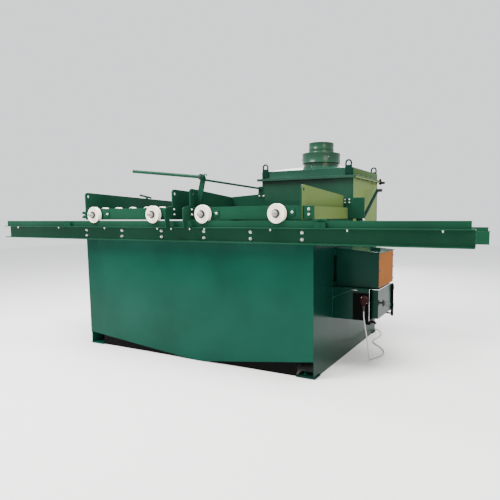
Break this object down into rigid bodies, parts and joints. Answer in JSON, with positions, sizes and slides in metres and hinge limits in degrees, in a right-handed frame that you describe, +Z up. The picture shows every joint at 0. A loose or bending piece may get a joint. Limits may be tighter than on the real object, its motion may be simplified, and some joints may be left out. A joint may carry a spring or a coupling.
{
  "type": "rail-carriage wood surfacing machine",
  "caption": "Green sheet-steel hopper machine with two long rails, two wheeled carriages, a hand lever, a dust hood with a round duct and a side outlet box with a door.",
  "frame": {"origin": "centre of the machine's plan extent on the floor it stands on", "axes": "+X along the rails towards the hood and outlet end, +Y from the operator's side to the back, +Z up"},
  "size_m": [4.595, 2.0076, 1.944],
  "materials": {
    "green_enamel": "gloss",
    "nylon": "satin",
    "bright_steel": "satin",
    "cast_grey": "matt",
    "black_plastic": "satin",
    "black_paint": "satin",
    "red_plastic": "satin",
    "cable_grey": "satin",
    "abrasive_belt": "matt",
    "black_rubber": "matt"
  },
  "bodies": {
    "root": {"tank_front_panel": "green_enamel", "tank_rear_panel": "green_enamel", "tank_left_end": "green_enamel", "tank_right_end": "green_enamel", "hopper_floor": "black_paint", "inner_frame": "green_enamel", "front_rail_channel": "green_enamel", "front_rail_angle": "green_enamel", "rear_rail": "green_enamel", "rail_stop_left": "green_enamel", "rail_stop_right": "green_enamel", "hood_body": "green_enamel", "hood_cover": "green_enamel", "duct_collar": "green_enamel", "duct_pipe": "green_enamel", "side_box": "green_enamel", "outlet_box": "green_enamel", "door_hinge_pin": "bright_steel", "power_inlet": "red_plastic", "strain_relief": "cable_grey", "power_cable": "cable_grey", "cable_coil": "cable_grey", "cable_plug": "red_plastic", "sander_frame": "cast_grey", "motor": "cast_grey", "sanding_belt": "abrasive_belt", "drive_belt": "black_rubber"},
    "left_carriage": {"left_outer_plate": "green_enamel", "left_inner_plate": "green_enamel", "left_front_beam": "green_enamel", "left_rear_beam": "green_enamel", "roller_bracket": "bright_steel"},
    "right_carriage": {"right_inner_plate": "green_enamel", "right_outer_plate": "green_enamel", "right_front_beam": "green_enamel", "right_rear_wall": "green_enamel", "end_gate": "green_enamel", "lever_post": "green_enamel"},
    "hand_lever": {"hand_lever": "green_enamel"},
    "damper": {"damper_lever": "green_enamel", "damper_grip": "black_plastic"},
    "side_door": {"side_door": "green_enamel"},
    "door_knob": {"door_knob": "black_plastic"},
    "drive_drum": {"drive_drum": "bright_steel", "drum_pulley": "bright_steel"},
    "idler_drum": {"idler_drum": "bright_steel"},
    "motor_pulley": {"motor_pulley": "bright_steel"},
    "left_front_wheel_1": {"left_front_wheel_1": "nylon"},
    "left_rear_wheel_1": {"left_rear_wheel_1": "nylon"},
    "left_front_wheel_2": {"left_front_wheel_2": "nylon"},
    "left_rear_wheel_2": {"left_rear_wheel_2": "nylon"},
    "right_front_wheel_1": {"right_front_wheel_1": "nylon"},
    "right_rear_wheel_1": {"right_rear_wheel_1": "nylon"},
    "right_front_wheel_2": {"right_front_wheel_2": "nylon"},
    "right_rear_wheel_2": {"right_rear_wheel_2": "nylon"},
    "bed_roller_1": {"bed_roller_1": "nylon"},
    "bed_roller_2": {"bed_roller_2": "nylon"},
    "bed_roller_3": {"bed_roller_3": "nylon"},
    "bed_roller_4": {"bed_roller_4": "nylon"},
    "bed_roller_5": {"bed_roller_5": "nylon"}
  },
  "joints": [
    {"name": "left_carriage_slide", "type": "slide", "parent": "root", "child": "left_carriage", "axis": [1, 0, 0], "range_m": [-0.265, 0.07]},
    {"name": "right_carriage_slide", "type": "slide", "parent": "root", "child": "right_carriage", "axis": [1, 0, 0], "range_m": [-0.07, 0.265]},
    {"name": "left_front_wheel_1_spin", "type": "hinge", "parent": "left_carriage", "child": "left_front_wheel_1", "pos_m": [-0.9825, -0.8155, 1.2433], "axis": [0, 1, 0], "continuous": true},
    {"name": "left_rear_wheel_1_spin", "type": "hinge", "parent": "left_carriage", "child": "left_rear_wheel_1", "pos_m": [-0.9825, 0.7225, 1.1783], "axis": [0, 1, 0], "continuous": true},
    {"name": "left_front_wheel_2_spin", "type": "hinge", "parent": "left_carriage", "child": "left_front_wheel_2", "pos_m": [-0.2665, -0.8155, 1.2433], "axis": [0, 1, 0], "continuous": true},
    {"name": "left_rear_wheel_2_spin", "type": "hinge", "parent": "left_carriage", "child": "left_rear_wheel_2", "pos_m": [-0.2665, 0.7225, 1.1783], "axis": [0, 1, 0], "continuous": true},
    {"name": "right_front_wheel_1_spin", "type": "hinge", "parent": "right_carriage", "child": "right_front_wheel_1", "pos_m": [0.2565, -0.8155, 1.2433], "axis": [0, 1, 0], "continuous": true},
    {"name": "right_rear_wheel_1_spin", "type": "hinge", "parent": "right_carriage", "child": "right_rear_wheel_1", "pos_m": [0.2565, -0.1355, 1.1783], "axis": [0, 1, 0], "continuous": true},
    {"name": "right_front_wheel_2_spin", "type": "hinge", "parent": "right_carriage", "child": "right_front_wheel_2", "pos_m": [0.9315, -0.8155, 1.2433], "axis": [0, 1, 0], "continuous": true},
    {"name": "right_rear_wheel_2_spin", "type": "hinge", "parent": "right_carriage", "child": "right_rear_wheel_2", "pos_m": [0.9315, -0.1355, 1.1783], "axis": [0, 1, 0], "continuous": true},
    {"name": "bed_roller_1_spin", "type": "hinge", "parent": "left_carriage", "child": "bed_roller_1", "pos_m": [-0.9625, -0.7075, 1.268], "axis": [0, 1, 0], "continuous": true},
    {"name": "bed_roller_2_spin", "type": "hinge", "parent": "left_carriage", "child": "bed_roller_2", "pos_m": [-0.7875, -0.7075, 1.268], "axis": [0, 1, 0], "continuous": true},
    {"name": "bed_roller_3_spin", "type": "hinge", "parent": "left_carriage", "child": "bed_roller_3", "pos_m": [-0.6125, -0.7075, 1.268], "axis": [0, 1, 0], "continuous": true},
    {"name": "bed_roller_4_spin", "type": "hinge", "parent": "left_carriage", "child": "bed_roller_4", "pos_m": [-0.4375, -0.7075, 1.268], "axis": [0, 1, 0], "continuous": true},
    {"name": "bed_roller_5_spin", "type": "hinge", "parent": "left_carriage", "child": "bed_roller_5", "pos_m": [-0.2625, -0.7075, 1.268], "axis": [0, 1, 0], "continuous": true},
    {"name": "hand_lever_swing", "type": "hinge", "parent": "right_carriage", "child": "hand_lever", "pos_m": [0.2025, -0.7475, 1.543], "axis": [0, 1, 0], "range_deg": [-8, 55]},
    {"name": "damper_turn", "type": "hinge", "parent": "root", "child": "damper", "pos_m": [1.2385, 0.2255, 1.187], "axis": [1, 0, 0], "range_deg": [-25, 50]},
    {"name": "side_door_swing", "type": "hinge", "parent": "root", "child": "side_door", "pos_m": [1.5645, 0.0985, 0.5], "axis": [0, 0, 1], "range_deg": [0, 110]},
    {"name": "door_knob_turn", "type": "hinge", "parent": "side_door", "child": "door_knob", "pos_m": [1.5725, -0.2375, 0.528], "axis": [1, 0, 0], "range_deg": [-90, 0]},
    {"name": "drive_drum_spin", "type": "hinge", "parent": "root", "child": "drive_drum", "pos_m": [-0.7675, -0.4275, 1.068], "axis": [0, 1, 0], "continuous": true},
    {"name": "idler_drum_spin", "type": "hinge", "parent": "root", "child": "idler_drum", "pos_m": [-0.1775, -0.4275, 1.068], "axis": [0, 1, 0], "continuous": true},
    {"name": "motor_pulley_spin", "type": "hinge", "parent": "root", "child": "motor_pulley", "pos_m": [-0.7675, -0.1375, 0.62], "axis": [0, 1, 0], "continuous": true}
  ],
  "couplings": [
    {"joint": "left_front_wheel_1_spin", "follows": "left_carriage_slide", "rad_per_m": 18.762},
    {"joint": "left_rear_wheel_1_spin", "follows": "left_carriage_slide", "rad_per_m": 16.584},
    {"joint": "left_front_wheel_2_spin", "follows": "left_carriage_slide", "rad_per_m": 18.762},
    {"joint": "left_rear_wheel_2_spin", "follows": "left_carriage_slide", "rad_per_m": 16.584},
    {"joint": "right_front_wheel_1_spin", "follows": "right_carriage_slide", "rad_per_m": 18.762},
    {"joint": "right_rear_wheel_1_spin", "follows": "right_carriage_slide", "rad_per_m": 16.584},
    {"joint": "right_front_wheel_2_spin", "follows": "right_carriage_slide", "rad_per_m": 18.762},
    {"joint": "right_rear_wheel_2_spin", "follows": "right_carriage_slide", "rad_per_m": 16.584},
    {"joint": "idler_drum_spin", "follows": "drive_drum_spin", "ratio": 1},
    {"joint": "motor_pulley_spin", "follows": "drive_drum_spin", "ratio": 1.6364}
  ]
}
